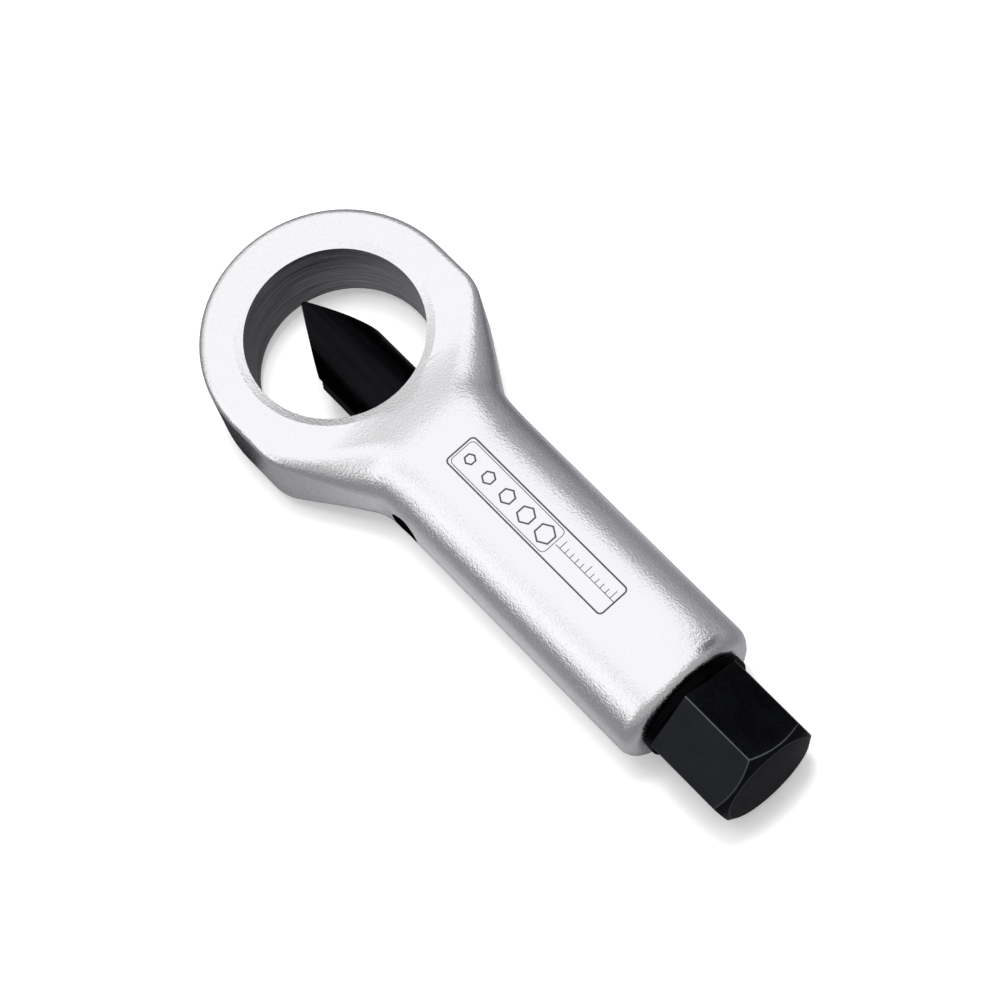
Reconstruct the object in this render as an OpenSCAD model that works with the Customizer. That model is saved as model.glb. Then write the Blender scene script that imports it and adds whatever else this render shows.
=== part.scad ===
// Nut splitter: a forged ring and shank that hold a wedge chisel,
// which a hexagon-headed bolt drives across the ring into a seized nut.
// Millimetres. The origin is the centre of the ring's bore, half way through the ring.
// +X runs along the shank to the hexagon, +Z is the axis of the ring.

/* [Ring] */
// Diameter of the bore that goes over the nut
ring_bore_d = 31; // [26:0.5:38]
// Wall of the ring, from its bore to its outside
ring_wall = 7.6; // [5.5:0.1:10]
// Thickness of the ring
ring_t = 17; // [15.5:0.1:19]
// Rounding of the ring's outer edges
ring_edge_r = 1.5; // [0.6:0.1:2.5]
// Width of the bevel at both mouths of the ring's bore, seen from above
mouth_w = 1.5; // [0.3:0.1:2.5]
// Depth of that bevel
mouth_depth = 0.6; // [0.2:0.1:1.2]

/* [Neck] */
// Angle that the neck's flanks make with the shank
flank_angle = 30; // [22:1:40]
// Distance from the ring's centre to the corner where the flanks start
shoulder_x = 9.8; // [6:0.1:13]
// Rounding of that corner, seen from above
shoulder_r = 9; // [4:0.5:12]
// Hollow rounding where the flanks run into the shank
neck_r = 7; // [3:0.5:10]
// Length of the slope from the ring's faces up to the shank's
slope_l = 12; // [6:0.5:16]
// How far along the straight shank the ring's edges go on widening into its round sides
blend_run = 5; // [2:0.5:15]

/* [Shank] */
// Length of the shank's straight part, from the neck to its end face
shank_l = 57.9; // [50:0.1:75]
// Width of the shank
shank_w = 27; // [24:0.1:30]
// Thickness of the shank
shank_t = 22; // [20:0.1:26]
// Rounding of the shank's long edges
shank_edge_r = 10.2; // [6:0.1:11]
// Rounding of the end face's edges
end_edge_r = 2.7; // [0.6:0.1:4]

/* [Chisel] */
// Diameter of the chisel
chisel_d = 13.6; // [11:0.1:14]
// Length of the chisel behind the guide screw's axis
chisel_tail = 10.7; // [8:0.1:16]
// Distance of the cutting edge past the ring's centre, fully driven in
chisel_reach = 9; // [6:0.1:11]
// Angle between the two faces of the wedge
wedge_angle = 60; // [45:1:75]
// Flat left on the cutting edge
edge_flat = 0.3; // [0.2:0.05:0.6]
// Rounding of the cutting edge's upper and lower ends
edge_end_r = 1; // [0.4:0.1:2]
// Width of the keyway along the chisel
keyway_w = 4.5; // [3.5:0.1:5]
// Depth of the keyway
keyway_depth = 2; // [1.2:0.1:2.5]
// Gap between the keyway's rear end and the guide screw, fully driven in
keyway_stop_gap = 0.4; // [0.2:0.1:1]

/* [Guide screw] */
// Distance from the start of the shank's straight part to the guide screw's axis
guide_offset = 3; // [0:0.1:8]
// Diameter of the guide screw
guide_d = 6; // [5:0.1:7]
// How far the screw's outer end lies below the shank's side
guide_recess = 0.9; // [0.3:0.1:1.5]
// Width across flats of the screw's socket
guide_socket_af = 3; // [2:0.1:3.5]
// Depth of the screw's socket
guide_socket_depth = 2.2; // [1:0.1:3]

/* [Drive bolt] */
// Diameter of the bolt's threaded length
thread_d = 16; // [15:0.1:18]
// Width across the flats of the hexagon
hex_af = 19; // [17:0.5:22]
// Length of the hexagon
hex_l = 16.2; // [12:0.1:22]
// Length of the chamfer on the hexagon's end
hex_chamfer_l = 2.1; // [1:0.1:3]
// Diameter of the flat on the hexagon's end
hex_face_d = 17.4; // [14:0.1:17.4]
// Turn of the hexagon about its axis, fully driven in
hex_turn = 10.9; // [0:0.1:60]
// Diameter of the collar under the hexagon
collar_d = 20.4; // [19:0.1:22]
// Thickness of the collar
collar_t = 1.5; // [1:0.1:3]
// Gap between the collar and the shank's end face, fully driven in
collar_gap = 0.25; // [0.2:0.05:1]

/* [Thrust ball] */
// Diameter of the ball between the bolt and the chisel
ball_d = 8; // [6:0.5:9]
// Depth of the ball's cup in the chisel
chisel_cup_depth = 2.6; // [1:0.1:3]
// Depth of the ball's cup in the bolt
bolt_cup_depth = 1.6; // [0.5:0.1:2]

/* [Fits] */
// Radial clearance of the chisel and the bolt in their bores
bore_clearance = 0.05; // [0.02:0.01:0.1]
// Radial clearance of the guide screw in its hole and of the ball in its cups
screw_clearance = 0.05; // [0.02:0.01:0.1]
// Clearance of the guide screw's point in the keyway
key_clearance = 0.2; // [0.1:0.05:0.3]
// Small chamfer that breaks the sharp edges of turned ends
edge_break = 0.6; // [0.2:0.1:1]

/* [Hidden] */

$fn = 96;
// Overlap of a cut with the open air
over = 1;
// Least half width of a flat that a rounding leaves beside it
least_flat = 0.4;
// Steps of the forged skin round each part of its outline
ring_steps = 22;
shoulder_steps = 5;
flank_steps = 10;
neck_steps = 5;
blend_steps = 4;
end_steps = 6;
edge_steps = 9;

ring_r = ring_bore_d / 2 + ring_wall;
shank_hw = shank_w / 2;
long_edge_r = min(shank_edge_r, shank_t / 2 - least_flat);
end_r = min(end_edge_r, long_edge_r - least_flat);

// Corner where a flank, drawn out straight, would meet the shank's side
neck_x = shoulder_x + (ring_r - shank_hw) / tan(flank_angle);
// Where the hollow rounding ends and the shank's side is straight
shank_x = neck_x + neck_r * tan(flank_angle / 2);
slope_end = neck_x;
// Where the rounding of the flank's corner starts
shoulder_start = shoulder_x - shoulder_r * tan(flank_angle / 2);
blend_end = shank_x + blend_run;
end_x = shank_x + shank_l;
guide_x = shank_x + guide_offset;

chisel_r = chisel_d / 2;
chisel_tip_x = -chisel_reach;
chisel_rear_x = guide_x + chisel_tail;
chisel_l = chisel_rear_x - chisel_tip_x;
guide_bore_r = chisel_r + bore_clearance;
thread_bore_r = thread_d / 2 + bore_clearance;
// The threaded bore starts just ahead of the chisel's rear face
thread_start_x = chisel_rear_x - edge_break - (thread_bore_r - guide_bore_r);

ball_r = ball_d / 2;
cup_r = ball_r + screw_clearance;
ball_x = chisel_rear_x - chisel_cup_depth + cup_r;
bolt_tip_x = ball_x + cup_r - bolt_cup_depth;
collar_x = end_x + collar_gap;
hex_x = collar_x + collar_t;
hex_end_x = hex_x + hex_l;
hex_corner_r = hex_af / 2 / cos(30);

point_d = keyway_w - 2 * key_clearance;
keyway_floor_y = -(chisel_r - keyway_depth);
point_tip_y = keyway_floor_y - key_clearance;
// The screw's full diameter stops short of the chisel
screw_inner_y = -(guide_bore_r + key_clearance);
screw_outer_y = -(shank_hw - guide_recess);
keyway_rear_x = guide_x + point_d / 2 + keyway_stop_gap;

// A number from 0 to 1 that eases in and out as t goes from a to b
function ease(t, a, b) =
    let (u = min(1, max(0, (t - a) / (b - a))))
    u * u * (3 - 2 * u);

// Half thickness of the forging at x
function half_t(x) =
    (ring_t + (shank_t - ring_t) * ease(x, slope_end - slope_l, slope_end)) / 2;

// Edge rounding of the forging at x
function edge_r(x) =
    ring_edge_r + (long_edge_r - ring_edge_r) * ease(x, shoulder_start, blend_end);

// A point of the outline: [x, y, angle of its outward normal, edge rounding, half thickness]
function outline_point(x, y, a) =
    let (r = edge_r(x))
    [x, y, a, r, half_t(x - r * cos(a))];

function outline_arc(centre, r, a_from, a_to, steps) = [
    for (i = [0:steps])
        let (a = a_from + (a_to - a_from) * i / steps)
        outline_point(centre.x + r * cos(a), centre.y + r * sin(a), a)
];

// A hollow arc: its centre lies outside the forging
function outline_hollow(centre, r, a_from, a_to, steps) = [
    for (i = [0:steps])
        let (a = a_from + (a_to - a_from) * i / steps)
        outline_point(centre.x - r * cos(a), centre.y - r * sin(a), a)
];

// The points between two others on a straight stretch
function outline_line(p, q, steps) = [
    for (i = [1:steps - 1])
        let (t = i / steps)
        outline_point(p.x + (q.x - p.x) * t, p.y + (q.y - p.y) * t, p[2])
];

// The rounded rim of the end: the whole section draws in towards the end face
function outline_end() = [
    for (i = [0:end_steps])
        let (
            a = 90 * i / end_steps,
            inset = end_r * (1 - cos(a))
        )
        [
            end_x - end_r * (1 - sin(a)), shank_hw - inset, 90,
            long_edge_r - inset, shank_t / 2 - inset
        ]
];

half_ring = outline_arc([0, 0], ring_r, 180 - 45 / (ring_steps + 1), 90, ring_steps);
shoulder = outline_arc(
    [shoulder_start, ring_r - shoulder_r],
    shoulder_r, 90, 90 - flank_angle, shoulder_steps
);
hollow = outline_hollow([shank_x, shank_hw + neck_r], neck_r, 90 - flank_angle, 90, neck_steps);
flank = outline_line(shoulder[shoulder_steps], hollow[0], flank_steps);
// The shank's side, as far as its edges still widen
blend = [
    for (i = [1:blend_steps])
        outline_point(shank_x + blend_run * i / blend_steps, shank_hw, 90)
];
half_outline = concat(half_ring, shoulder, flank, hollow, blend, outline_end());

// The forging's skin: at each point of the outline, a rounded edge over a straight side
module forging() {
    half = len(half_outline);
    count = 2 * half;
    rows = 2 * (edge_steps + 1);
    outline = concat(
        half_outline,
        [for (i = [half - 1:-1:0])
            let (p = half_outline[i])
            [p.x, -p.y, -p[2], p[3], p[4]]]
    );
    points = [
        for (p = outline)
            for (k = [0:rows - 1])
                let (
                    lower = k > edge_steps,
                    a = 90 * (lower ? rows - 1 - k : k) / edge_steps,
                    inward = p[3] * (1 - sin(a)),
                    z = p[4] - p[3] * (1 - cos(a))
                )
                [p.x - inward * cos(p[2]), p.y - inward * sin(p[2]), lower ? -z : z]
    ];
    skin = [
        for (i = [0:count - 1])
            for (k = [0:rows - 2])
                let (
                    a = i * rows + k,
                    b = (i + 1) % count * rows + k
                )
                each [[a, b + 1, b], [a, a + 1, b + 1]]
    ];
    // The faces above and below are strips between the outline's two halves
    caps = [
        for (i = [0:half - 2])
            let (
                a = i * rows,
                b = a + rows,
                c = (count - 2 - i) * rows,
                d = c + rows,
                foot = rows - 1
            )
            each [[a, b, c, d], [a + foot, d + foot, c + foot, b + foot]]
    ];
    polyhedron(points, concat(skin, caps));
}

// A round bar along X
module bar(r, x_from, x_to) {
    translate([x_from, 0, 0])
        rotate([0, 90, 0])
            cylinder(r = r, h = x_to - x_from);
}

// A cone along X
module cone(r_from, r_to, x_from, x_to) {
    translate([x_from, 0, 0])
        rotate([0, 90, 0])
            cylinder(r1 = r_from, r2 = r_to, h = x_to - x_from);
}

// A round bar along Y at the guide screw's place
module cross_bar(r, y_from, y_to) {
    translate([guide_x, y_from, 0])
        rotate([-90, 0, 0])
            cylinder(r = r, h = y_to - y_from);
}

// The ring's bore with its two bevelled mouths
module ring_bore() {
    bore_r = ring_bore_d / 2;
    // The bevel's cone runs on into the open air
    rise = 1 + over / mouth_depth;
    cylinder(r = bore_r, h = ring_t + 2 * over, center = true);
    for (side = [0, 1])
        mirror([0, 0, side])
            translate([0, 0, ring_t / 2 - mouth_depth])
                cylinder(r1 = bore_r, r2 = bore_r + mouth_w * rise, h = mouth_depth * rise);
}

// Forged frame: ring, neck and shank with the bores that guide the chisel and the bolt
module body() {
    screw_hole_r = guide_d / 2 + screw_clearance;
    mouth_r = thread_bore_r + edge_break;
    color("silver")
        difference() {
            forging();
            ring_bore();
            bar(guide_bore_r, 0, thread_start_x + over);
            cone(
                guide_bore_r, thread_bore_r,
                thread_start_x, thread_start_x + thread_bore_r - guide_bore_r
            );
            bar(
                thread_bore_r,
                thread_start_x + thread_bore_r - guide_bore_r, end_x + over
            );
            cone(thread_bore_r, mouth_r + over, end_x - edge_break, end_x + over);
            cross_bar(screw_hole_r, -(shank_hw + neck_r), 0);
        }
}

// Wedge of the chisel seen from above, from its blunted edge to the full bar
module wedge_plan() {
    half_flat = edge_flat / 2;
    taper_l = (chisel_r + over - half_flat) / tan(wedge_angle / 2);
    polygon([
        [chisel_tip_x, -half_flat],
        [chisel_tip_x + taper_l, -chisel_r - over],
        [chisel_rear_x + over, -chisel_r - over],
        [chisel_rear_x + over, chisel_r + over],
        [chisel_tip_x + taper_l, chisel_r + over],
        [chisel_tip_x, half_flat]
    ]);
}

// Side view of the chisel's nose, with the cutting edge's ends rounded
module nose_side() {
    square_x = chisel_tip_x + edge_end_r;
    for (side = [-1, 1])
        translate([square_x, side * (chisel_r - edge_end_r)])
            circle(r = edge_end_r);
    translate([chisel_tip_x, -(chisel_r - edge_end_r)])
        square([chisel_l + over, chisel_d - 2 * edge_end_r]);
    translate([square_x, -chisel_r - over])
        square([chisel_l + over, chisel_d + 2 * over]);
}

// Keyway on the chisel's side, open at the wedge, with a milled round end behind the screw
module keyway() {
    slot_y = keyway_floor_y - chisel_r - over;
    slot_x = chisel_tip_x - over;
    centre_x = keyway_rear_x - keyway_w / 2;
    translate([slot_x, slot_y, -keyway_w / 2])
        cube([centre_x - slot_x, chisel_r + over, keyway_w]);
    translate([centre_x, slot_y, 0])
        rotate([-90, 0, 0])
            cylinder(d = keyway_w, h = chisel_r + over);
}

// Wedge chisel: a round bar ground to a vertical cutting edge
module chisel() {
    rear_cone_x = chisel_rear_x - edge_break;
    color("#1c1d1f")
        difference() {
            intersection() {
                union() {
                    bar(chisel_r, chisel_tip_x, rear_cone_x);
                    cone(chisel_r, chisel_r - edge_break, rear_cone_x, chisel_rear_x);
                }
                linear_extrude(height = chisel_d + 2 * over, center = true)
                    wedge_plan();
                rotate([90, 0, 0])
                    linear_extrude(height = chisel_d + 2 * over, center = true)
                        nose_side();
            }
            keyway();
            translate([ball_x, 0, 0])
                sphere(r = cup_r);
        }
}

// Guide screw: a headless socket screw whose point runs in the chisel's keyway
module guide_screw() {
    socket_r = guide_socket_af / 2 / cos(30);
    color("#222325")
        difference() {
            union() {
                cross_bar(guide_d / 2, screw_outer_y, screw_inner_y);
                cross_bar(point_d / 2, screw_outer_y, point_tip_y);
            }
            translate([guide_x, screw_outer_y - over, 0])
                rotate([-90, 0, 0])
                    cylinder(r = socket_r, h = guide_socket_depth + over, $fn = 6);
        }
}

// Thrust ball: turns between the bolt's tip and the chisel's rear
module thrust_ball() {
    color("gainsboro")
        translate([ball_x, 0, 0])
            sphere(r = ball_r);
}

// Hexagon of the drive bolt with its chamfered end
module hexagon() {
    chamfer_x = hex_end_x - hex_chamfer_l;
    intersection() {
        translate([hex_x, 0, 0])
            rotate([hex_turn, 0, 0])
                rotate([0, 90, 0])
                    cylinder(r = hex_corner_r, h = hex_l, $fn = 6);
        union() {
            bar(hex_corner_r + over, hex_x - over, chamfer_x);
            cone(hex_corner_r + over, hex_face_d / 2, chamfer_x, hex_end_x);
        }
    }
}

// Drive bolt: threaded length, collar and hexagon in one piece
module drive_bolt() {
    nose_x = bolt_tip_x + edge_break;
    color("#18191b")
        difference() {
            union() {
                cone(thread_d / 2 - edge_break, thread_d / 2, bolt_tip_x, nose_x);
                bar(thread_d / 2, nose_x, collar_x + collar_t);
                bar(collar_d / 2, collar_x, hex_x);
                hexagon();
            }
            translate([ball_x, 0, 0])
                sphere(r = cup_r);
        }
}

body();
chisel();
guide_screw();
thrust_ball();
drive_bolt();
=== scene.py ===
"""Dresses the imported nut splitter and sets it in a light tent.

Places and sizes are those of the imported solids. Over them go a smooth, plated forging,
a chisel, a screw and a bolt with broken edges, a cut thread on the bolt and a plain size mark
on the shank. Lengths are in metres; the origin is the centre of the ring's bore, +X runs along
the shank to the hexagon and +Z is the axis of the ring.
"""

from __future__ import annotations

import logging
import math
from collections.abc import Callable, Iterator
from contextlib import contextmanager
from dataclasses import dataclass
from enum import Enum

import bmesh
import bpy
from mathutils import Matrix, Vector

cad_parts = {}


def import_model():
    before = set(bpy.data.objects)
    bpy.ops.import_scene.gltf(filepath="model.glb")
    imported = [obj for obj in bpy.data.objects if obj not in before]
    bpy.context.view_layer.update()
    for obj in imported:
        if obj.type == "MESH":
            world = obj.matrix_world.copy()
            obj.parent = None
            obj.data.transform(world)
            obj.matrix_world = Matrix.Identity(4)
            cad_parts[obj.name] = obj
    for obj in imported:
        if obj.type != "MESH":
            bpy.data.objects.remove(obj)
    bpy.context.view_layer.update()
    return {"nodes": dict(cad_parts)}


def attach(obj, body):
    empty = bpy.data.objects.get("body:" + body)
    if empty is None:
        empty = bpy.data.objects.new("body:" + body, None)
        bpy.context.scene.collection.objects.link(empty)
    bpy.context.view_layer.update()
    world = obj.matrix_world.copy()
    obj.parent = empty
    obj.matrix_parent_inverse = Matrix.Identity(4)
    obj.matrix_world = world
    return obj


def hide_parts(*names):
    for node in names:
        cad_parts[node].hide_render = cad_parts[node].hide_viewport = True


LOG = logging.getLogger("nut_splitter")

MM = 0.001
# Vertices closer than this are one vertex of the solid
MERGE_DISTANCE = 0.002 * MM
# Triangles that turn less than this from each other are one flat face of the solid
FLAT_ANGLE_DEG = 0.5
# Faces across a broken edge
EDGE_SEGMENTS = 2
# Material slots of the black pieces: the finish, its rubbed edges and its painted shade
BLACK_SLOT = 0
WORN_SLOT = 1
PAINTED_SHADE_SLOT = 2
# Nearly all the values of a noise texture lie between these
NOISE_LOW = 0.3
NOISE_HIGH = 0.7
# Sockets of a Mix node that mixes colours
MIX_SHARE = 0
MIX_FIRST = 6
MIX_SECOND = 7
MIX_RESULT = 2


class Body(Enum):
    """The bodies that the pieces ride on."""

    FRAME = "frame"
    CUTTER = "cutter"
    DRIVE_BOLT = "drive_bolt"


class Slot(Enum):
    """The record's material slots that the new pieces take."""

    FORGED_BODY = "forged_body"
    BLACK_STEEL = "black_steel"


class Pick(Enum):
    """What is picked in edit mode."""

    VERTICES = "VERT"
    FACES = "FACE"


def linear(hex_colour: str) -> tuple[float, float, float, float]:
    """Turns an sRGB hex colour into linear RGBA.

    Args:
        hex_colour: Colour such as "#c8c8cc".

    Returns:
        The four linear values, opaque.
    """
    channels = [int(hex_colour[i : i + 2], 16) / 255 for i in (1, 3, 5)]
    red, green, blue = (
        c / 12.92 if c <= 0.04045 else ((c + 0.055) / 1.055) ** 2.4 for c in channels
    )
    return red, green, blue, 1.0


def add_node(
    tree: bpy.types.NodeTree,
    kind: str,
    settings: dict[str, object] | None = None,
    inputs: dict[str | int, object] | None = None,
) -> bpy.types.Node:
    """Adds one shader node with its settings, values and links.

    Args:
        tree: Node tree that gets the node.
        kind: Type of the node.
        settings: Properties to set on the node.
        inputs: Input socket to a value, or to the output socket that feeds it.

    Returns:
        The new node.
    """
    node = tree.nodes.new(kind)
    for name, value in (settings or {}).items():
        setattr(node, name, value)
    for key, value in (inputs or {}).items():
        if isinstance(value, bpy.types.NodeSocket):
            tree.links.new(value, node.inputs[key])
        else:
            node.inputs[key].default_value = value
    return node


def new_tree(name: str) -> tuple[bpy.types.Material, bpy.types.NodeTree]:
    """Makes an empty node material.

    Args:
        name: Name of the material.

    Returns:
        The material and its node tree.
    """
    material = bpy.data.materials.new(name)
    material.use_nodes = True
    material.node_tree.nodes.clear()
    return material, material.node_tree


def pattern_scale(size_mm: float) -> float:
    """Scale of a texture whose features are this many millimetres across."""
    return 1 / (size_mm * MM)


def select_only(obj: bpy.types.Object) -> None:
    """Selects one object and makes it the active one.

    Args:
        obj: Object to select.
    """
    bpy.ops.object.select_all(action="DESELECT")
    obj.select_set(True)
    bpy.context.view_layer.objects.active = obj


@contextmanager
def editing(obj: bpy.types.Object, pick: Pick = Pick.FACES) -> Iterator[None]:
    """Opens an object in edit mode with nothing selected, and closes it again.

    Args:
        obj: Object to edit.
        pick: What is picked there.

    Yields:
        Nothing, while the object is open.
    """
    select_only(obj)
    bpy.ops.object.mode_set(mode="EDIT")
    bpy.ops.mesh.select_mode(type=pick.value)
    bpy.ops.mesh.select_all(action="DESELECT")
    yield
    bpy.ops.object.mode_set(mode="OBJECT")


def pick_faces(
    obj: bpy.types.Object, wanted: Callable[[Vector, Vector], bool]
) -> None:
    """Selects faces in edit mode by their place and normal.

    Args:
        obj: Object in edit mode.
        wanted: Test on a face's centre and normal.
    """
    mesh = bmesh.from_edit_mesh(obj.data)
    for face in mesh.faces:
        face.select_set(wanted(face.calc_center_median(), face.normal))
    mesh.select_flush_mode()
    bmesh.update_edit_mesh(obj.data)


def apply_modifier(
    obj: bpy.types.Object, kind: str, settings: dict[str, object]
) -> None:
    """Adds a modifier to an object and applies it.

    Args:
        obj: Object to change.
        kind: Type of the modifier.
        settings: Properties to set on it.
    """
    modifier = obj.modifiers.new(kind.lower(), kind)
    for name, value in settings.items():
        setattr(modifier, name, value)
    select_only(obj)
    bpy.ops.object.modifier_apply(modifier=modifier.name)


def apply_place(obj: bpy.types.Object) -> None:
    """Moves an object's place, turn and scale into its mesh."""
    select_only(obj)
    bpy.ops.object.transform_apply(location=True, rotation=True, scale=True)


def join(pieces: list[bpy.types.Object], name: str) -> bpy.types.Object:
    """Joins several objects into the first.

    Args:
        pieces: Objects to join.
        name: Name of the result.

    Returns:
        The joined object.
    """
    select_only(pieces[0])
    for piece in pieces[1:]:
        piece.select_set(True)
    bpy.ops.object.join()
    pieces[0].name = name
    return pieces[0]


def merged_copy(node: bpy.types.Object, name: str) -> bpy.types.Object:
    """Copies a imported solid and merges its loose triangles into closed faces.

    Args:
        node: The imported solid.
        name: Name of the copy.

    Returns:
        The copy, without materials.
    """
    piece = bpy.data.objects.new(name, node.data.copy())
    bpy.context.scene.collection.objects.link(piece)
    piece.data.materials.clear()
    with editing(piece):
        bpy.ops.mesh.customdata_custom_splitnormals_clear()
        bpy.ops.mesh.select_all(action="SELECT")
        bpy.ops.mesh.remove_doubles(threshold=MERGE_DISTANCE)
        bpy.ops.mesh.mark_sharp(clear=True)
    return piece


def add_materials(
    piece: bpy.types.Object, materials: list[bpy.types.Material]
) -> None:
    """Gives a piece its materials, in order.

    Args:
        piece: Piece to dress.
        materials: One material for each slot.
    """
    for material in materials:
        piece.data.materials.append(material)


def paint_picked(piece: bpy.types.Object, index: int) -> None:
    """Gives the faces picked in edit mode the material of a slot."""
    piece.active_material_index = index
    bpy.ops.object.material_slot_assign()


@dataclass(frozen=True)
class PearlChrome:
    """Satin chrome plated over a blasted forging.

    The eye gets a soft, bright mirror: white where it faces the tent, with the edges of dark
    reflections broken up by the blasted grain.
    """

    colour: str = "#ececee"
    # The blasted grain is about 0.1 mm, drawn several times as coarse so that it shows
    grain_mm: float = 0.4
    grain_depth_mm: float = 0.085
    grain_octaves: float = 3.0
    # Long waves that the hammer leaves in the skin
    wave_mm: float = 7.0
    wave_depth_mm: float = 0.035
    wave_octaves: float = 1.0
    roughness_low: float = 0.16
    roughness_high: float = 0.28

    def material(self) -> bpy.types.Material:
        """Builds the plated skin's material.

        Returns:
            The material.
        """
        material, tree = new_tree("pearl_chrome")
        place = add_node(tree, "ShaderNodeTexCoord").outputs["Object"]
        grain = add_node(
            tree,
            "ShaderNodeTexNoise",
            inputs={
                "Vector": place,
                "Scale": pattern_scale(self.grain_mm),
                "Detail": self.grain_octaves,
            },
        )
        wave = add_node(
            tree,
            "ShaderNodeTexNoise",
            inputs={
                "Vector": place,
                "Scale": pattern_scale(self.wave_mm),
                "Detail": self.wave_octaves,
            },
        )
        roughness = add_node(
            tree,
            "ShaderNodeMapRange",
            inputs={
                "Value": grain.outputs["Fac"],
                "From Min": NOISE_LOW,
                "From Max": NOISE_HIGH,
                "To Min": self.roughness_low,
                "To Max": self.roughness_high,
            },
        )
        waved = add_node(
            tree,
            "ShaderNodeBump",
            inputs={
                "Height": wave.outputs["Fac"],
                "Strength": 1.0,
                "Distance": self.wave_depth_mm * MM,
            },
        )
        grained = add_node(
            tree,
            "ShaderNodeBump",
            inputs={
                "Height": grain.outputs["Fac"],
                "Strength": 1.0,
                "Distance": self.grain_depth_mm * MM,
                "Normal": waved.outputs["Normal"],
            },
        )
        shader = add_node(
            tree,
            "ShaderNodeBsdfPrincipled",
            inputs={
                "Base Color": linear(self.colour),
                "Metallic": 1.0,
                "Roughness": roughness.outputs["Result"],
                "Normal": grained.outputs["Normal"],
            },
        )
        add_node(
            tree, "ShaderNodeOutputMaterial", inputs={"Surface": shader.outputs["BSDF"]}
        )
        return material


@dataclass(frozen=True)
class BoredSteel:
    """Bare steel turned by a boring bar.

    The eye gets a darker, streaky mirror with fine rings round the bore.
    """

    name: str = "bored_steel"
    dark: str = "#58585c"
    light: str = "#bebec2"
    # The tool's feed is about 0.2 mm a turn, drawn coarser so that the rings show
    feed_mm: float = 0.45
    mark_length_mm: float = 14.0
    mark_depth_mm: float = 0.035
    mark_octaves: float = 3.0
    roughness_low: float = 0.24
    roughness_high: float = 0.45

    def material(self) -> bpy.types.Material:
        """Builds the bored wall's material.

        Returns:
            The material.
        """
        material, tree = new_tree(self.name)
        place = add_node(tree, "ShaderNodeTexCoord").outputs["Object"]
        around = pattern_scale(self.mark_length_mm)
        along = pattern_scale(self.feed_mm)
        drawn_out = add_node(
            tree,
            "ShaderNodeMapping",
            inputs={"Vector": place, "Scale": (around, around, along)},
        )
        marks = add_node(
            tree,
            "ShaderNodeTexNoise",
            inputs={
                "Vector": drawn_out.outputs["Vector"],
                "Scale": 1.0,
                "Detail": self.mark_octaves,
            },
        )
        roughness = add_node(
            tree,
            "ShaderNodeMapRange",
            inputs={
                "Value": marks.outputs["Fac"],
                "From Min": NOISE_LOW,
                "From Max": NOISE_HIGH,
                "To Min": self.roughness_low,
                "To Max": self.roughness_high,
            },
        )
        share = add_node(
            tree,
            "ShaderNodeMapRange",
            inputs={
                "Value": marks.outputs["Fac"],
                "From Min": NOISE_LOW,
                "From Max": NOISE_HIGH,
            },
        )
        colour = add_node(
            tree,
            "ShaderNodeMix",
            {"data_type": "RGBA"},
            {
                MIX_SHARE: share.outputs["Result"],
                MIX_FIRST: linear(self.dark),
                MIX_SECOND: linear(self.light),
            },
        )
        grooves = add_node(
            tree,
            "ShaderNodeBump",
            inputs={
                "Height": marks.outputs["Fac"],
                "Strength": 1.0,
                "Distance": self.mark_depth_mm * MM,
            },
        )
        shader = add_node(
            tree,
            "ShaderNodeBsdfPrincipled",
            inputs={
                "Base Color": colour.outputs[MIX_RESULT],
                "Metallic": 1.0,
                "Roughness": roughness.outputs["Result"],
                "Normal": grooves.outputs["Normal"],
            },
        )
        add_node(
            tree, "ShaderNodeOutputMaterial", inputs={"Surface": shader.outputs["BSDF"]}
        )
        return material


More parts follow.
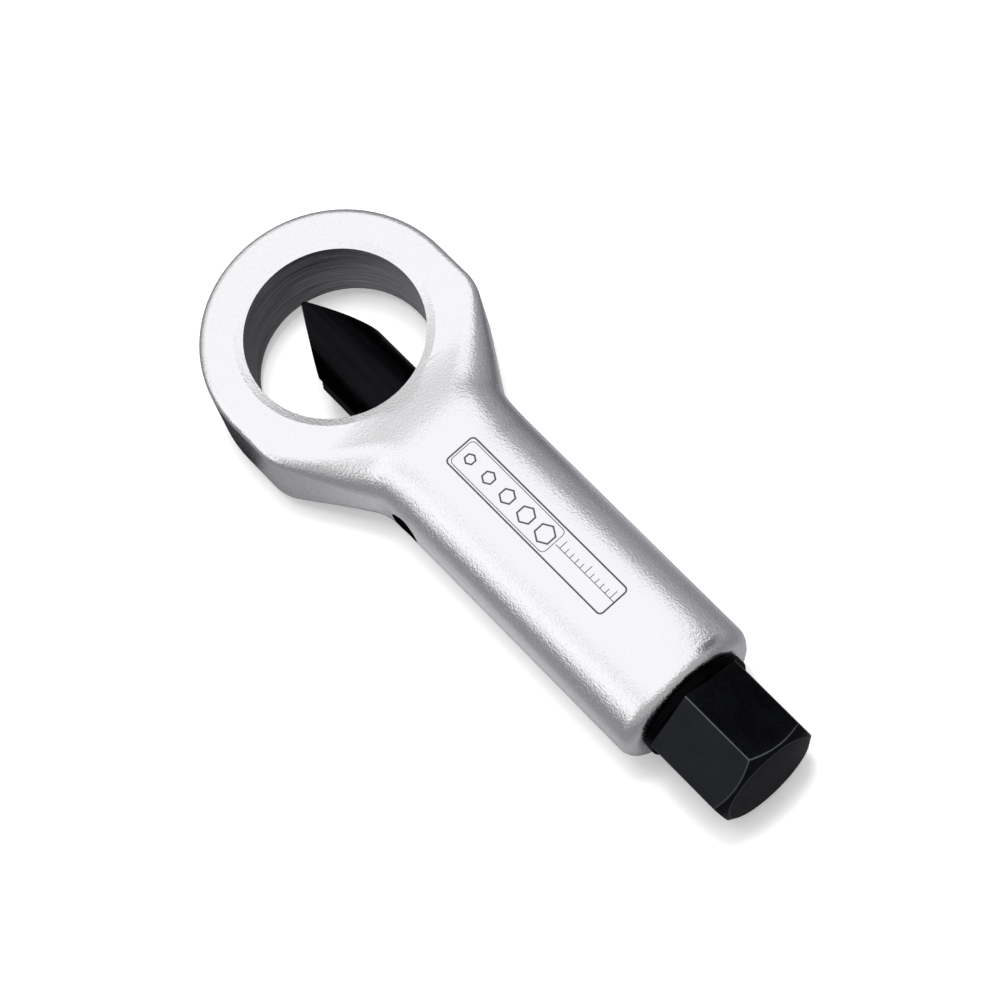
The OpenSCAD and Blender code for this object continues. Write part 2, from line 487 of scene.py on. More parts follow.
@dataclass(frozen=True)
class BlackOxide:
    """Hardened steel blackened in a hot oxide bath and oiled.

    The eye gets a deep black with a soft sheen, and faint mottling where the oil lies.
    """

    name: str = "black_oxide"
    dark: str = "#1b1c1e"
    light: str = "#26282b"
    mottle_mm: float = 4.0
    mottle_octaves: float = 4.0
    # How many times as long along X as across it the mottling is
    drawn_out: float = 1.0
    # The ground steel's grit is about 0.05 mm, drawn coarser so that it shows
    grit_mm: float = 0.25
    grit_depth_mm: float = 0.006
    grit_octaves: float = 2.0
    roughness_low: float = 0.22
    roughness_high: float = 0.32
    # The oxide soaks up much of what bare steel would mirror at a grazing angle
    grazing: str = "#c7c7c9"

    def material(self) -> bpy.types.Material:
        """Builds the black finish.

        Returns:
            The material.
        """
        material, tree = new_tree(self.name)
        place = add_node(tree, "ShaderNodeTexCoord").outputs["Object"]
        drawn = add_node(
            tree,
            "ShaderNodeMapping",
            inputs={"Vector": place, "Scale": (1 / self.drawn_out, 1, 1)},
        )
        mottle = add_node(
            tree,
            "ShaderNodeTexNoise",
            inputs={
                "Vector": drawn.outputs["Vector"],
                "Scale": pattern_scale(self.mottle_mm),
                "Detail": self.mottle_octaves,
            },
        )
        grit = add_node(
            tree,
            "ShaderNodeTexNoise",
            inputs={
                "Vector": place,
                "Scale": pattern_scale(self.grit_mm),
                "Detail": self.grit_octaves,
            },
        )
        colour = add_node(
            tree,
            "ShaderNodeMix",
            {"data_type": "RGBA"},
            {
                MIX_SHARE: mottle.outputs["Fac"],
                MIX_FIRST: linear(self.dark),
                MIX_SECOND: linear(self.light),
            },
        )
        roughness = add_node(
            tree,
            "ShaderNodeMapRange",
            inputs={
                "Value": mottle.outputs["Fac"],
                "From Min": NOISE_LOW,
                "From Max": NOISE_HIGH,
                "To Min": self.roughness_low,
                "To Max": self.roughness_high,
            },
        )
        ground = add_node(
            tree,
            "ShaderNodeBump",
            inputs={
                "Height": grit.outputs["Fac"],
                "Strength": 1.0,
                "Distance": self.grit_depth_mm * MM,
            },
        )
        shader = add_node(
            tree,
            "ShaderNodeBsdfPrincipled",
            inputs={
                "Base Color": colour.outputs[MIX_RESULT],
                "Metallic": 1.0,
                "Specular Tint": linear(self.grazing),
                "Roughness": roughness.outputs["Result"],
                "Normal": ground.outputs["Normal"],
            },
        )
        add_node(
            tree, "ShaderNodeOutputMaterial", inputs={"Surface": shader.outputs["BSDF"]}
        )
        return material


# Near-black painted shade in the long bore, the screw's hole and round the bolt's collar,
# where shade falls in recesses and between parts: the eye gets no sheen
PAINTED_SHADE_BLACK = BlackOxide(
    name="painted_shade_black",
    dark="#060607",
    light="#0c0c0e",
    roughness_low=0.4,
    roughness_high=0.5,
)
# The same bath on the chisel, ground along its length: the eye gets faint long streaks
CHISEL_BLACK = BlackOxide(
    name="chisel_black",
    dark="#010102",
    light="#212125",
    mottle_mm=2.2,
    drawn_out=12.0,
)
# Steel that shows where sockets and hands have rubbed the black off: the eye gets a grey line
WORN_EDGE = BlackOxide(name="worn_edge", dark="#3c3e41", light="#6a6d70")
# Marking etched into the plating: the eye gets a dull grey line on the bright chrome
ETCHED_LINE = BlackOxide(
    name="etched_line",
    dark="#4c4c4f",
    light="#78787b",
    mottle_mm=1.5,
    roughness_low=0.45,
    roughness_high=0.6,
)
# Ground and polished ball of bearing steel: the eye gets an even, bright mirror
BEARING_STEEL = BoredSteel(
    name="bearing_steel", dark="#c4c4c8", light="#d8d8dc", mark_depth_mm=0.003
)


@dataclass
class ForgedBody:
    """The forging: ring, neck and shank, with the bores cut into it."""

    bore_r: float = 15.5 * MM
    thread_bore_r: float = 8.05 * MM
    thread_mouth_w: float = 0.6 * MM
    guide_x: float = 31.3 * MM
    guide_hole_r: float = 3.05 * MM
    # Slack on a bore's radius where its faces are picked
    allowance: float = 0.1 * MM
    # Cosine of the widest angle between the normal of a bore's face and the way to its axis
    least_inward: float = 0.6
    # More than the steps of the rounded edges, less than the bevel of the ring's mouths
    smooth_angle_deg: float = 18.0
    # Added weight of large faces in a shared normal; 50 is neutral
    normal_weight: int = 50

    def faces_axis(
        self, centre: Vector, normal: Vector, axis: Vector, radius: float, x: float = 0.0
    ) -> bool:
        """Tells whether a face is part of the wall of a bore.

        Args:
            centre: Centre of the face.
            normal: Normal of the face.
            axis: Axis of the bore.
            radius: Largest radius of the bore.
            x: Where the axis crosses the X axis.

        Returns:
            True where the face lies in the bore and looks at its axis.
        """
        arm = centre - Vector((x, 0, 0))
        arm -= arm.dot(axis) * axis
        within = arm.length < radius + self.allowance
        return within and -normal.dot(arm.normalized()) > self.least_inward

    def is_ring_bore(self, centre: Vector, normal: Vector) -> bool:
        """Tells the wall of the ring's bore from the plated skin."""
        return self.faces_axis(centre, normal, Vector((0, 0, 1)), self.bore_r)

    def is_hole(self, centre: Vector, normal: Vector) -> bool:
        """Tells the walls of the long bore and of the screw's hole from the plated skin.

        Args:
            centre: Centre of the face.
            normal: Normal of the face.

        Returns:
            True where the face is in one of the two.
        """
        long_r = self.thread_bore_r + self.thread_mouth_w
        return self.faces_axis(centre, normal, Vector((1, 0, 0)), long_r) or self.faces_axis(
            centre, normal, Vector((0, 1, 0)), self.guide_hole_r, self.guide_x
        )

    def build(self, node: bpy.types.Object) -> bpy.types.Object:
        """Copies the forging and smooths it over its facets.

        Args:
            node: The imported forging.

        Returns:
            The smooth piece.
        """
        piece = merged_copy(node, "forged_body")
        select_only(piece)
        bpy.ops.object.shade_smooth_by_angle(angle=math.radians(self.smooth_angle_deg))
        apply_modifier(
            piece, "WEIGHTED_NORMAL", {"keep_sharp": True, "weight": self.normal_weight}
        )
        return piece

    def dress(self, piece: bpy.types.Object) -> None:
        """Plates the skin, leaves the ring's bore as machined and paints near-black shade into
        the long bore and the screw's hole.

        Args:
            piece: The smooth piece.
        """
        add_materials(
            piece,
            [PearlChrome().material(), BoredSteel().material(), PAINTED_SHADE_BLACK.material()],
        )
        # Slot 1 is the machined ring's bore; slot 2 is near-black painted shade in the long
        # bore and the screw's hole
        for index, wanted in enumerate((self.is_ring_bore, self.is_hole), start=1):
            with editing(piece):
                pick_faces(piece, wanted)
                paint_picked(piece, index)
        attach(piece, Body.FRAME.value)
        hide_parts("body")


def break_edges(piece: bpy.types.Object, width: float, least_angle_deg: float) -> None:
    """Dissolves the triangles of flat faces and rounds the sharp edges between them.

    Args:
        piece: Merged copy of a solid, with the worn edge's material in its second slot.
        width: Width of the rounding.
        least_angle_deg: Edges that turn less than this stay as they are.
    """
    with editing(piece):
        bpy.ops.mesh.select_all(action="SELECT")
        bpy.ops.mesh.dissolve_limited(angle_limit=math.radians(FLAT_ANGLE_DEG))
    apply_modifier(
        piece,
        "BEVEL",
        {
            "width": width,
            "segments": EDGE_SEGMENTS,
            "limit_method": "ANGLE",
            "angle_limit": math.radians(least_angle_deg),
            "use_clamp_overlap": False,
            "material": WORN_SLOT,
        },
    )
    select_only(piece)
    bpy.ops.object.shade_smooth_by_angle(angle=math.radians(least_angle_deg))


@dataclass
class Chisel:
    """The wedge chisel and the ball behind it."""

    edge_break: float = 0.1 * MM
    sharp_angle_deg: float = 25.0

    def build(self, node: bpy.types.Object) -> bpy.types.Object:
        """Copies the chisel and breaks its ground edges.

        Args:
            node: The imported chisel.

        Returns:
            The finished chisel.
        """
        piece = merged_copy(node, "wedge_chisel")
        add_materials(piece, [CHISEL_BLACK.material(), WORN_EDGE.material()])
        break_edges(piece, self.edge_break, self.sharp_angle_deg)
        return piece

    def dress(self, piece: bpy.types.Object, ball: bpy.types.Object) -> None:
        """Sets the chisel on its body and polishes the ball.

        Args:
            piece: The finished chisel.
            ball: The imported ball, which stays as it is.
        """
        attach(piece, Body.CUTTER.value)
        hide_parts("chisel")
        ball.data.materials.clear()
        ball.data.materials.append(BEARING_STEEL.material())


@dataclass
class DriveBolt:
    """The bolt: a cut thread, a relief groove, a collar and a hexagon."""

    tip_x: float = 45.95 * MM
    thread_start_x: float = 46.5 * MM
    thread_end_x: float = 83.6 * MM
    collar_x: float = 86.45 * MM
    thread_r: float = 7.97 * MM
    pitch: float = 1.5 * MM
    # Depth and flats of a metric thread, as shares of its pitch
    depth_share: float = 0.613
    crest_share: float = 0.125
    root_share: float = 0.25
    turn_steps: int = 64
    # Turns past the thread's two ends, which are trimmed off
    spare_turns: int = 2
    relief_r: float = 6.9 * MM
    nose_chamfer: float = 0.56 * MM
    # Cosine of the widest angle between the normal of the nose's end and the axis
    least_endwise: float = 0.9
    # How far one shell reaches into the next
    overlap: float = 0.1 * MM
    edge_break: float = 0.14 * MM
    sharp_angle_deg: float = 12.0
    # Where the hexagon starts, with painted shade on the collar up to there
    hexagon_x: float = 88.6 * MM
    # Sockets rub the black off the hexagon's edges from here to its end
    rubbed_x: float = 91.0 * MM

    def build_thread(self) -> bpy.types.Object:
        """Winds one tooth round the bolt and trims both ends square.

        Returns:
            The threaded length.
        """
        depth = self.depth_share * self.pitch
        root = self.root_share * self.pitch
        crest = self.crest_share * self.pitch
        flank = (self.pitch - root - crest) / 2
        start_x = self.thread_start_x - self.pitch
        thread_l = self.thread_end_x - self.thread_start_x
        turns = math.ceil(thread_l / self.pitch) + self.spare_turns
        bpy.ops.mesh.primitive_plane_add(
            size=self.pitch, location=(start_x, 0, self.thread_r - depth)
        )
        thread = bpy.context.object
        thread.name = "bolt_thread"
        apply_place(thread)
        with editing(thread, Pick.VERTICES):
            bpy.ops.mesh.select_all(action="SELECT")
            bpy.ops.mesh.merge(type="CENTER")
            for step in (
                (root / 2, 0, 0),
                (flank, 0, depth),
                (crest, 0, 0),
                (flank, 0, -depth),
                (root / 2, 0, 0),
            ):
                bpy.ops.mesh.extrude_vertices_move(TRANSFORM_OT_translate={"value": step})
        apply_modifier(
            thread,
            "SCREW",
            {
                "axis": "X",
                "angle": math.tau,
                "screw_offset": self.pitch,
                "iterations": turns,
                "steps": self.turn_steps,
                "render_steps": self.turn_steps,
            },
        )
        with editing(thread):
            bpy.ops.mesh.select_all(action="SELECT")
            bpy.ops.mesh.remove_doubles(threshold=MERGE_DISTANCE)
            bpy.ops.mesh.bisect(
                plane_co=(self.thread_start_x, 0, 0),
                plane_no=(1, 0, 0),
                use_fill=True,
                clear_inner=True,
            )
            bpy.ops.mesh.select_all(action="SELECT")
            bpy.ops.mesh.bisect(
                plane_co=(self.thread_end_x, 0, 0),
                plane_no=(1, 0, 0),
                use_fill=True,
                clear_outer=True,
            )
            bpy.ops.mesh.select_all(action="SELECT")
            bpy.ops.mesh.normals_make_consistent(inside=False)
        add_materials(thread, [BlackOxide().material(), WORN_EDGE.material()])
        return thread

    def build_core(self) -> bpy.types.Object:
        """Turns the core that shows as the nose and as the relief groove.

        Returns:
            The core.
        """
        length = self.collar_x + self.overlap - self.tip_x
        bpy.ops.mesh.primitive_cylinder_add(
            vertices=self.turn_steps,
            radius=self.relief_r,
            depth=length,
            location=(self.tip_x + length / 2, 0, 0),
            rotation=(0, math.pi / 2, 0),
        )
        core = bpy.context.object
        core.name = "bolt_core"
        apply_place(core)
        with editing(core):
            pick_faces(core, lambda centre, normal: -normal.x > self.least_endwise)
            bpy.ops.mesh.bevel(offset=self.nose_chamfer, segments=1, affect="EDGES")
        add_materials(core, [BlackOxide().material(), WORN_EDGE.material()])
        return core

    def build_head(self, node: bpy.types.Object) -> bpy.types.Object:
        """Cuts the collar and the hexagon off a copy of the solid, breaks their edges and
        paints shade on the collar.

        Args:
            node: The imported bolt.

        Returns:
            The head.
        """
        head = merged_copy(node, "bolt_head")
        add_materials(
            head,
            [BlackOxide().material(), WORN_EDGE.material(), PAINTED_SHADE_BLACK.material()],
        )
        with editing(head):
            bpy.ops.mesh.select_all(action="SELECT")
            bpy.ops.mesh.bisect(
                plane_co=(self.collar_x - self.overlap, 0, 0),
                plane_no=(1, 0, 0),
                use_fill=True,
                clear_inner=True,
            )
        break_edges(head, self.edge_break, self.sharp_angle_deg)
        self.paint_up_to(head, self.rubbed_x, BLACK_SLOT)
        # Near-black painted shade on the collar, in the gap between the shank's end and the
        # hexagon
        self.paint_up_to(head, self.hexagon_x, PAINTED_SHADE_SLOT)
        return head

    def paint_up_to(self, head: bpy.types.Object, end_x: float, index: int) -> None:
        """Gives the faces of the head up to a place on the axis the material of a slot.

        Args:
            head: The collar and the hexagon.
            end_x: Where the faces end.
            index: The slot.
        """
        with editing(head):
            pick_faces(head, lambda centre, normal: centre.x < end_x)
            paint_picked(head, index)

    def build(self, node: bpy.types.Object) -> bpy.types.Object:
        """Builds the whole bolt.

        Args:
            node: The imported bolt.

        Returns:
            The bolt as one piece.
        """
        head = self.build_head(node)
        return join([head, self.build_thread(), self.build_core()], "hexagon_bolt")

    def dress(self, piece: bpy.types.Object) -> None:
        """Sets the bolt on its body.

        Args:
            piece: The whole bolt.
        """
        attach(piece, Body.DRIVE_BOLT.value)
        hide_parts("drive_bolt")


@dataclass
class GuideScrew:
    """The headless screw in the shank's side."""

    edge_break: float = 0.12 * MM
    sharp_angle_deg: float = 25.0

    def build(self, node: bpy.types.Object) -> bpy.types.Object:
        """Copies the screw and breaks its edges.

        Args:
            node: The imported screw.

        Returns:
            The finished screw.
        """
        piece = merged_copy(node, "socket_screw")
        add_materials(piece, [BlackOxide().material(), WORN_EDGE.material()])
        break_edges(piece, self.edge_break, self.sharp_angle_deg)
        return piece

    def dress(self, piece: bpy.types.Object) -> None:
        """Sets the screw in the forging.

        Args:
            piece: The finished screw.
        """
        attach(piece, Body.FRAME.value)
        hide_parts("guide_screw")


@dataclass
class SizeMark:
    """A plain etched panel on the shank: a frame, a row of growing nuts and a short scale."""

    top_z: float = 11.0 * MM
    # The etched lines stand this far over the skin, so that they aren't lost in it
    lift: float = 0.006 * MM
    depth: float = 0.03 * MM
    low_x: float = 31.4 * MM
    high_x: float = 69.0 * MM
    low_y: float = -2.75 * MM
    high_y: float = 3.7 * MM
    line: float = 0.3 * MM
    thin_line: float = 0.14 * MM
    corner_r: float = 0.9 * MM
    corner_steps: int = 6
    # Share of the panel's length that the nuts take; the scale has the rest
    nuts_share: float = 0.62
    # Between the panel's outline and the one round the nuts
    gap: float = 0.55 * MM
    nuts: int = 5
    nut_sides: int = 6
    # Shares of the panel's width: the least radius of a nut, and what it grows by
    nut_share: float = 0.16
    nut_growth: float = 0.16
    ticks: int = 11
    # One tick in so many is tall
    tall_every: int = 5
    # Shares of the panel's width: the lengths of the short ticks and of the tall ones
    tick_share: float = 0.16
    tall_share: float = 0.26

    def hollow_picked(self, line: float) -> None:
        """Leaves an outline of a face that is selected in edit mode."""
        bpy.ops.mesh.inset(thickness=line)
        bpy.ops.mesh.delete(type="FACE")

    def rectangle(
        self, centre: tuple[float, float], size: tuple[float, float]
    ) -> bpy.types.Object:
        """Adds a flat rectangle on the shank.

        Args:
            centre: Its x and y.
            size: Its length and width.

        Returns:
            The rectangle.
        """
        bpy.ops.mesh.primitive_plane_add(
            size=1, location=(*centre, self.top_z + self.lift)
        )
        plate = bpy.context.object
        plate.scale = (*size, 1)
        apply_place(plate)
        return plate

    def panel(
        self, low: tuple[float, float], high: tuple[float, float], line: float
    ) -> bpy.types.Object:
        """Draws the outline of a panel with rounded corners.

        Args:
            low: Its lower corner.
            high: Its upper corner.
            line: Width of the line.

        Returns:
            The outline.
        """
        centre = ((low[0] + high[0]) / 2, (low[1] + high[1]) / 2)
        plate = self.rectangle(centre, (high[0] - low[0], high[1] - low[1]))
        with editing(plate):
            bpy.ops.mesh.select_all(action="SELECT")
            bpy.ops.mesh.bevel(
                offset=self.corner_r, segments=self.corner_steps, affect="VERTICES"
            )
            bpy.ops.mesh.select_all(action="SELECT")
            self.hollow_picked(line)
        return plate

    def nut(self, x: float, y: float, radius: float) -> bpy.types.Object:
        """Draws the outline of a hexagon nut.

        Args:
            x: Its place along the shank.
            y: Its place across the shank.
            radius: From its centre to its corners.

        Returns:
            The outline.
        """
        bpy.ops.mesh.primitive_circle_add(
            vertices=self.nut_sides,
            radius=radius,
            fill_type="NGON",
            location=(x, y, self.top_z + self.lift),
        )
        hexagon = bpy.context.object
        apply_place(hexagon)
        with editing(hexagon):
            bpy.ops.mesh.select_all(action="SELECT")
            self.hollow_picked(self.line)
        return hexagon

    def build(self) -> bpy.types.Object:
        """Draws the whole mark.

        Returns:
            The mark as one piece.
        """
        length = self.high_x - self.low_x
        width = self.high_y - self.low_y
        mid_y = (self.low_y + self.high_y) / 2
        split_x = self.low_x + self.nuts_share * length
        nuts_x = self.low_x + self.gap
        parts = [
            self.panel((self.low_x, self.low_y), (self.high_x, self.high_y), self.line),
            self.panel(
                (nuts_x, self.low_y + self.gap),
                (split_x, self.high_y - self.gap),
                self.thin_line,
            ),
            self.rectangle(
                ((split_x + self.high_x) / 2, mid_y),
                (self.high_x - split_x - self.gap, self.thin_line),
            ),
        ]
        for i in range(self.nuts):
            share = (i + 0.5) / self.nuts
            nut_x = nuts_x + share * (split_x - nuts_x)
            nut_r = (self.nut_share + self.nut_growth * share) * width
            parts.append(self.nut(nut_x, mid_y, nut_r))
        for i in range(self.ticks):
            tick_x = split_x + (i + 1) / (self.ticks + 1) * (self.high_x - split_x)
            tall = i % self.tall_every == 0
            tick_l = (self.tall_share if tall else self.tick_share) * width
            parts.append(
                self.rectangle((tick_x, mid_y + tick_l / 2), (self.thin_line, tick_l))
            )
        mark = join(parts, "size_mark")
        apply_modifier(mark, "SOLIDIFY", {"thickness": self.depth, "offset": -1.0})
        return mark

    def dress(self, mark: bpy.types.Object) -> None:
        """Darkens the etched lines and sets the mark on the forging.

        Args:
            mark: The whole mark.
        """
        add_materials(mark, [ETCHED_LINE.material()])
        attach(mark, Body.FRAME.value)


@dataclass(frozen=True)
class SoftBox:
    """A lamp behind white cloth: its place, its width and height, and its radiance."""

    name: str
    place: tuple[float, float, float]
    size: tuple[float, float]
    radiance: float
    # A level box looks straight down, any other one at the tool
    level: bool = False
    # Whether the metal mirrors the lamp
    mirrored: bool = True


@dataclass(frozen=True)
class Patch:
    """A soft-edged oval on the table: its centre, its radii and its colour."""

    centre: tuple[float, float]
    radii: tuple[float, float]
    colour: str
    # Shares of the radii between which the patch fades out
    fade_start: float = 0.35
    fade_end: float = 1.0


@dataclass
class Studio:
    """A white light tent with a pale floor, grey cards for the metal, and the camera."""

    floor_z: float = -11.0 * MM
    floor_size: float = 3.0
    floor_colour: str = "#f3f3f3"
    # White that the floor adds to what the lamps give it, so that only deep shadow shows
    floor_glow: float = 0.17
    tent_strength: float = 0.45
    # Three softboxes that the metal mirrors, and two lamps that only shade the floor
    boxes: tuple[SoftBox, ...] = (
        SoftBox("overhead_box", (-0.06, 0.29, 0.8), (1.32, 1.82), 0.66, level=True),
        SoftBox("near_box", (-0.2, -0.62, 0.31), (0.9, 0.56), 0.72),
        SoftBox("left_box", (-0.75, 0.0, 0.5), (1.0, 0.55), 0.35),
        SoftBox("side_lamp", (-0.09, 0.13, 1.0), (0.28, 0.26), 26.4, mirrored=False),
        SoftBox("end_lamp", (-0.09, -0.13, 1.0), (0.28, 0.24), 9.7, mirrored=False),
    )
    box_target: tuple[float, float, float] = (0.05, 0.0, 0.0)
    # Snooted lamp at the lens, which lights the paper that shows through the ring
    ring_lamp_watts: float = 2.6
    ring_lamp_r: float = 18.5 * MM
    ring_lamp_blend: float = 0.15
    ring_lamp_glass_r: float = 5.0 * MM
    # Table that only the metal sees: grey, with a pale sheet under the tool
    table_colour: str = "#737376"
    table_size: float = 3.0
    table_lift: float = 0.4 * MM
    # The sheet, then the shade in the bore, at the ring's foot and beyond the neck
    patches: tuple[Patch, ...] = (
        Patch((0.042, 0.0), (0.1, 0.045), "#b0b0b2", 0.3, 0.9),
        Patch((-0.005, -0.004), (0.014, 0.014), "#666669", 0.45),
        Patch((-0.01, -0.022), (0.0135, 0.012), "#262628", 0.7),
        Patch((0.024, 0.042), (0.022, 0.022), "#59595c"),
    )
    # Grey card that stands on the far side
    card_colour: str = "#949498"
    card_y: float = 0.45
    card_w: float = 2.6
    card_h: float = 0.28
    # Small grey flag that the hexagon's upper flat mirrors
    flag_colour: str = "#78787b"
    flag_place: tuple[float, float, float] = (0.089, 0.0205, 0.0247)
    flag_tilt_deg: float = 132.0
    flag_size: tuple[float, float] = (0.022, 0.02)
    # The camera was fitted to the rims of the ring's bore and the edges of the hexagon
    lens_mm: float = 128.8
    sensor_mm: float = 36.0
    clip_start: float = 0.01
    camera_place: tuple[float, float, float] = (0.246961, -0.092103, 0.541886)
    camera_right: tuple[float, float, float] = (0.66203, 0.73857, -0.12738)
    camera_down: tuple[float, float, float] = (0.66051, -0.65528, -0.36652)
    camera_forward: tuple[float, float, float] = (-0.35417, 0.15851, -0.92165)

    def build_camera(self) -> None:
        """Puts the camera where the photograph was taken from."""
        bpy.ops.object.camera_add()
        camera = bpy.context.object
        camera.name = "camera"
        camera.data.sensor_width = self.sensor_mm
        camera.data.lens = self.lens_mm
        camera.data.clip_start = self.clip_start
        axes = (
            Vector(self.camera_right),
            -Vector(self.camera_down),
            -Vector(self.camera_forward),
        )
        turn = Matrix(axes).transposed().to_4x4()
        camera.matrix_world = Matrix.Translation(self.camera_place) @ turn
        bpy.context.scene.camera = camera

    def build_tent(self) -> None:
        """Surrounds the tool with even white light."""
        world = bpy.data.worlds.new("light_tent")
        world.use_nodes = True
        tree = world.node_tree
        tree.nodes.clear()
        light = add_node(
            tree,
            "ShaderNodeBackground",
            inputs={"Color": linear("#ffffff"), "Strength": self.tent_strength},
        )
        add_node(
            tree,
            "ShaderNodeOutputWorld",
            inputs={"Surface": light.outputs["Background"]},
        )
        bpy.context.scene.world = world

    def build_softbox(self, box: SoftBox) -> None:
        """Hangs one softbox and turns it to the tool.

        Args:
            box: The softbox.
        """
        bpy.ops.object.light_add(type="AREA", location=box.place)
        lamp = bpy.context.object
        lamp.name = box.name
        lamp.data.shape = "RECTANGLE"
        lamp.data.size, lamp.data.size_y = box.size
        # In proportion to the area, so that a box is as bright whatever its size
        lamp.data.energy = math.pi * box.size[0] * box.size[1] * box.radiance
        lamp.visible_glossy = box.mirrored
        if not box.level:
            self.aim(lamp, self.box_target)

    def aim(self, lamp: bpy.types.Object, target: tuple[float, float, float]) -> None:
        """Turns a lamp to a point."""
        way = Vector(target) - lamp.location
        lamp.rotation_euler = way.to_track_quat("-Z", "Y").to_euler()

    def build_ring_lamp(self) -> None:
        """Lights the paper inside the ring from the lens."""
        bpy.ops.object.light_add(type="SPOT", location=self.camera_place)
        lamp = bpy.context.object
        lamp.name = "ring_lamp"
        lamp.data.energy = self.ring_lamp_watts
        lamp.data.spot_size = 2 * math.atan(self.ring_lamp_r / lamp.location.length)
        lamp.data.spot_blend = self.ring_lamp_blend
        lamp.data.shadow_soft_size = self.ring_lamp_glass_r
        lamp.visible_glossy = False
        self.aim(lamp, (0, 0, 0))

    def card_material(self, name: str, colour: str) -> bpy.types.Material:
        """Makes the matt paper of a card.

        Args:
            name: Name of the material.
            colour: Its sRGB colour.

        Returns:
            The material.
        """
        material, tree = new_tree(name)
        paper = add_node(
            tree, "ShaderNodeBsdfDiffuse", inputs={"Color": linear(colour)}
        )
        add_node(
            tree, "ShaderNodeOutputMaterial", inputs={"Surface": paper.outputs["BSDF"]}
        )
        return material

    def table_material(self) -> bpy.types.Material:
        """Makes the table's grey, with the soft patches laid over it in order.

        Returns:
            The material.
        """
        material, tree = new_tree("grey_table_paper")
        place = add_node(tree, "ShaderNodeTexCoord").outputs["Object"]
        colour = linear(self.table_colour)
        for patch in self.patches:
            shares = add_node(
                tree,
                "ShaderNodeMapping",
                {"vector_type": "TEXTURE"},
                {
                    "Vector": place,
                    "Location": (*patch.centre, 0),
                    "Scale": (*patch.radii, 1),
                },
            )
            distance = add_node(
                tree,
                "ShaderNodeVectorMath",
                {"operation": "LENGTH"},
                {0: shares.outputs["Vector"]},
            )
            fade = add_node(
                tree,
                "ShaderNodeMapRange",
                {"interpolation_type": "SMOOTHSTEP"},
                {
                    "Value": distance.outputs["Value"],
                    "From Min": patch.fade_start,
                    "From Max": patch.fade_end,
                },
            )
            colour = add_node(
                tree,
                "ShaderNodeMix",
                {"data_type": "RGBA"},
                {
                    MIX_SHARE: fade.outputs["Result"],
                    MIX_FIRST: linear(patch.colour),
                    MIX_SECOND: colour,
                },
            ).outputs[MIX_RESULT]
        paper = add_node(tree, "ShaderNodeBsdfDiffuse", inputs={"Color": colour})
        add_node(
            tree, "ShaderNodeOutputMaterial", inputs={"Surface": paper.outputs["BSDF"]}
        )
        return material

    def floor_material(self) -> bpy.types.Material:
        """Makes white paper that stays white to the camera and keeps the shadow.

        Returns:
            The material.
        """
        material, tree = new_tree("white_paper")
        rays = add_node(tree, "ShaderNodeLightPath").outputs
        seen = rays["Is Camera Ray"]
        for name in ("Is Glossy Ray", "Is Transmission Ray"):
            seen = add_node(
                tree,
                "ShaderNodeMath",
                {"operation": "MAXIMUM"},
                {0: seen, 1: rays[name]},
            ).outputs["Value"]
        strength = add_node(
            tree,
            "ShaderNodeMath",
            {"operation": "MULTIPLY"},
            {0: seen, 1: self.floor_glow},
        )
        paper = add_node(
            tree, "ShaderNodeBsdfDiffuse", inputs={"Color": linear(self.floor_colour)}
        )
        glow = add_node(
            tree,
            "ShaderNodeEmission",
            inputs={"Color": linear("#ffffff"), "Strength": strength.outputs["Value"]},
        )
        both = add_node(
            tree,
            "ShaderNodeAddShader",
            inputs={0: paper.outputs["BSDF"], 1: glow.outputs["Emission"]},
        )
        add_node(
            tree, "ShaderNodeOutputMaterial", inputs={"Surface": both.outputs["Shader"]}
        )
        return material

    def build_floor(self) -> None:
        """Lays the floor under the shank."""
        bpy.ops.mesh.primitive_plane_add(
            size=self.floor_size, location=(0, 0, self.floor_z)
        )
        floor = bpy.context.object
        floor.name = "floor"
        floor.data.materials.append(self.floor_material())

    def show_to_metal_only(self, card: bpy.types.Object) -> None:
        """Keeps a card out of the picture and out of the light; the metal still mirrors it.

        Args:
            card: The card or the table.
        """
        card.visible_camera = False
        card.visible_diffuse = False
        card.visible_shadow = False
        card.visible_transmission = False

    def stand_card(
        self,
        name: str,
        colour: str,
        place: tuple[float, float, float],
        size: tuple[float, float],
        tilt_deg: float = 90.0,
    ) -> None:
        """Stands a card that only the metal sees.

        Args:
            name: Name of the card.
            colour: Its sRGB colour.
            place: Its centre.
            size: Its width along X and its height.
            tilt_deg: Its slope; 90 is upright.
        """
        bpy.ops.mesh.primitive_plane_add(
            size=1, location=place, rotation=(math.radians(tilt_deg), 0, 0)
        )
        card = bpy.context.object
        card.name = name
        card.scale = (*size, 1)
        apply_place(card)
        card.data.materials.append(self.card_material(name + "_paper", colour))
        self.show_to_metal_only(card)

    def build_cards(self) -> None:
        """Sets the table and the cards that give the metal its dark bands."""
        bpy.ops.mesh.primitive_plane_add(
            size=self.table_size, location=(0, 0, self.floor_z + self.table_lift)
        )
        table = bpy.context.object
        table.name = "grey_table"
        apply_place(table)
        table.data.materials.append(self.table_material())
        self.show_to_metal_only(table)
        self.stand_card(
            "grey_card",
            self.card_colour,
            (0, self.card_y, self.floor_z + self.card_h / 2),
            (self.card_w, self.card_h),
        )
        self.stand_card(
            "grey_flag",
            self.flag_colour,
            self.flag_place,
            self.flag_size,
            self.flag_tilt_deg,
        )

    def build(self) -> None:
        """Builds the whole studio."""
        bpy.context.scene.view_settings.view_transform = "Standard"
        self.build_camera()
        self.build_tent()
        for box in self.boxes:
            self.build_softbox(box)
        self.build_ring_lamp()
        self.build_floor()
        self.build_cards()


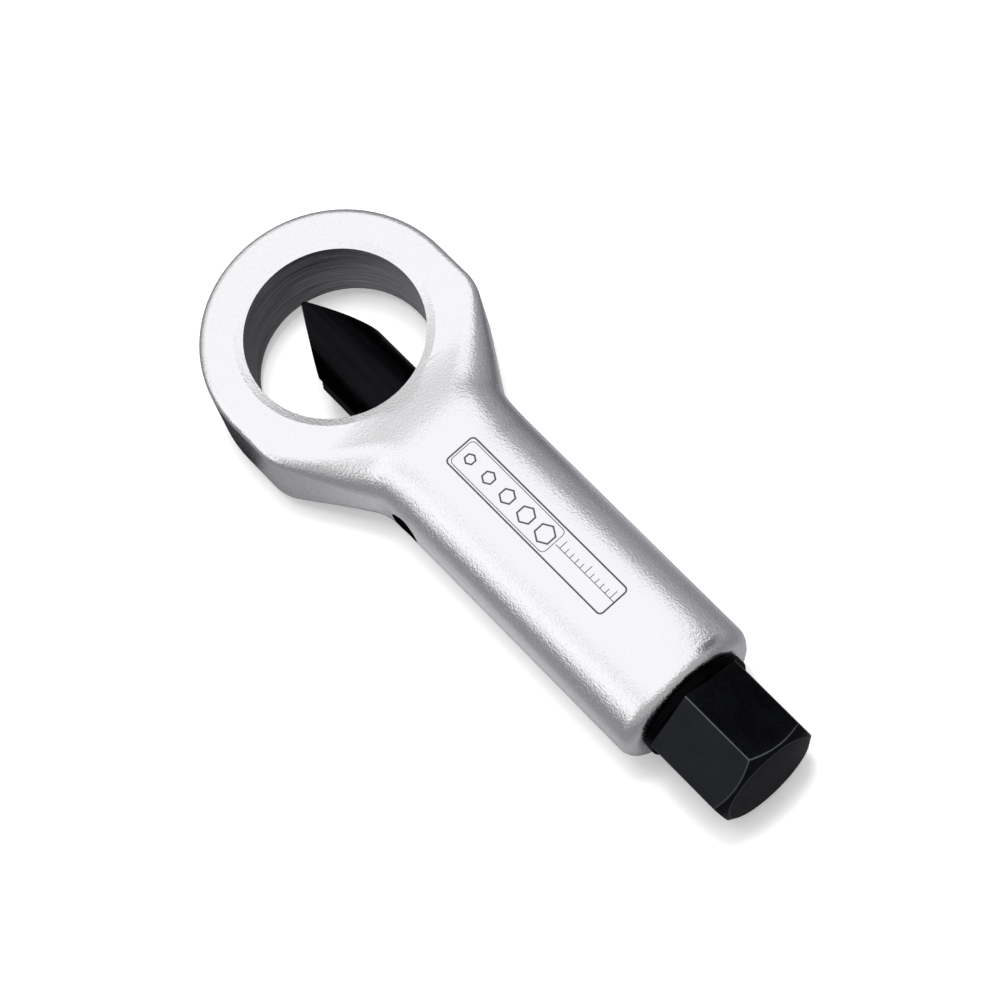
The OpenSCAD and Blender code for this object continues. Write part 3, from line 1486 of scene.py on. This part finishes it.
def main() -> None:
    """Builds the pieces in order and reports each one."""
    logging.basicConfig(level=logging.INFO, format="%(name)s: %(message)s")
    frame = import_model()
    nodes = frame["nodes"]

    Studio().build()
    LOG.info("studio built")

    body = ForgedBody()
    forging = body.build(nodes["body"])
    body.dress(forging)
    LOG.info("%s: %d faces", forging.name, len(forging.data.polygons))

    chisel = Chisel()
    wedge = chisel.build(nodes["chisel"])
    chisel.dress(wedge, nodes["thrust_ball"])
    LOG.info("%s: %d faces", wedge.name, len(wedge.data.polygons))

    drive = DriveBolt()
    bolt = drive.build(nodes["drive_bolt"])
    drive.dress(bolt)
    LOG.info("%s: %d faces", bolt.name, len(bolt.data.polygons))

    guide = GuideScrew()
    screw = guide.build(nodes["guide_screw"])
    guide.dress(screw)
    LOG.info("%s: %d faces", screw.name, len(screw.data.polygons))

    size_mark = SizeMark()
    mark = size_mark.build()
    size_mark.dress(mark)
    LOG.info("%s: %d faces", mark.name, len(mark.data.polygons))


if __name__ == "__main__":
    main()
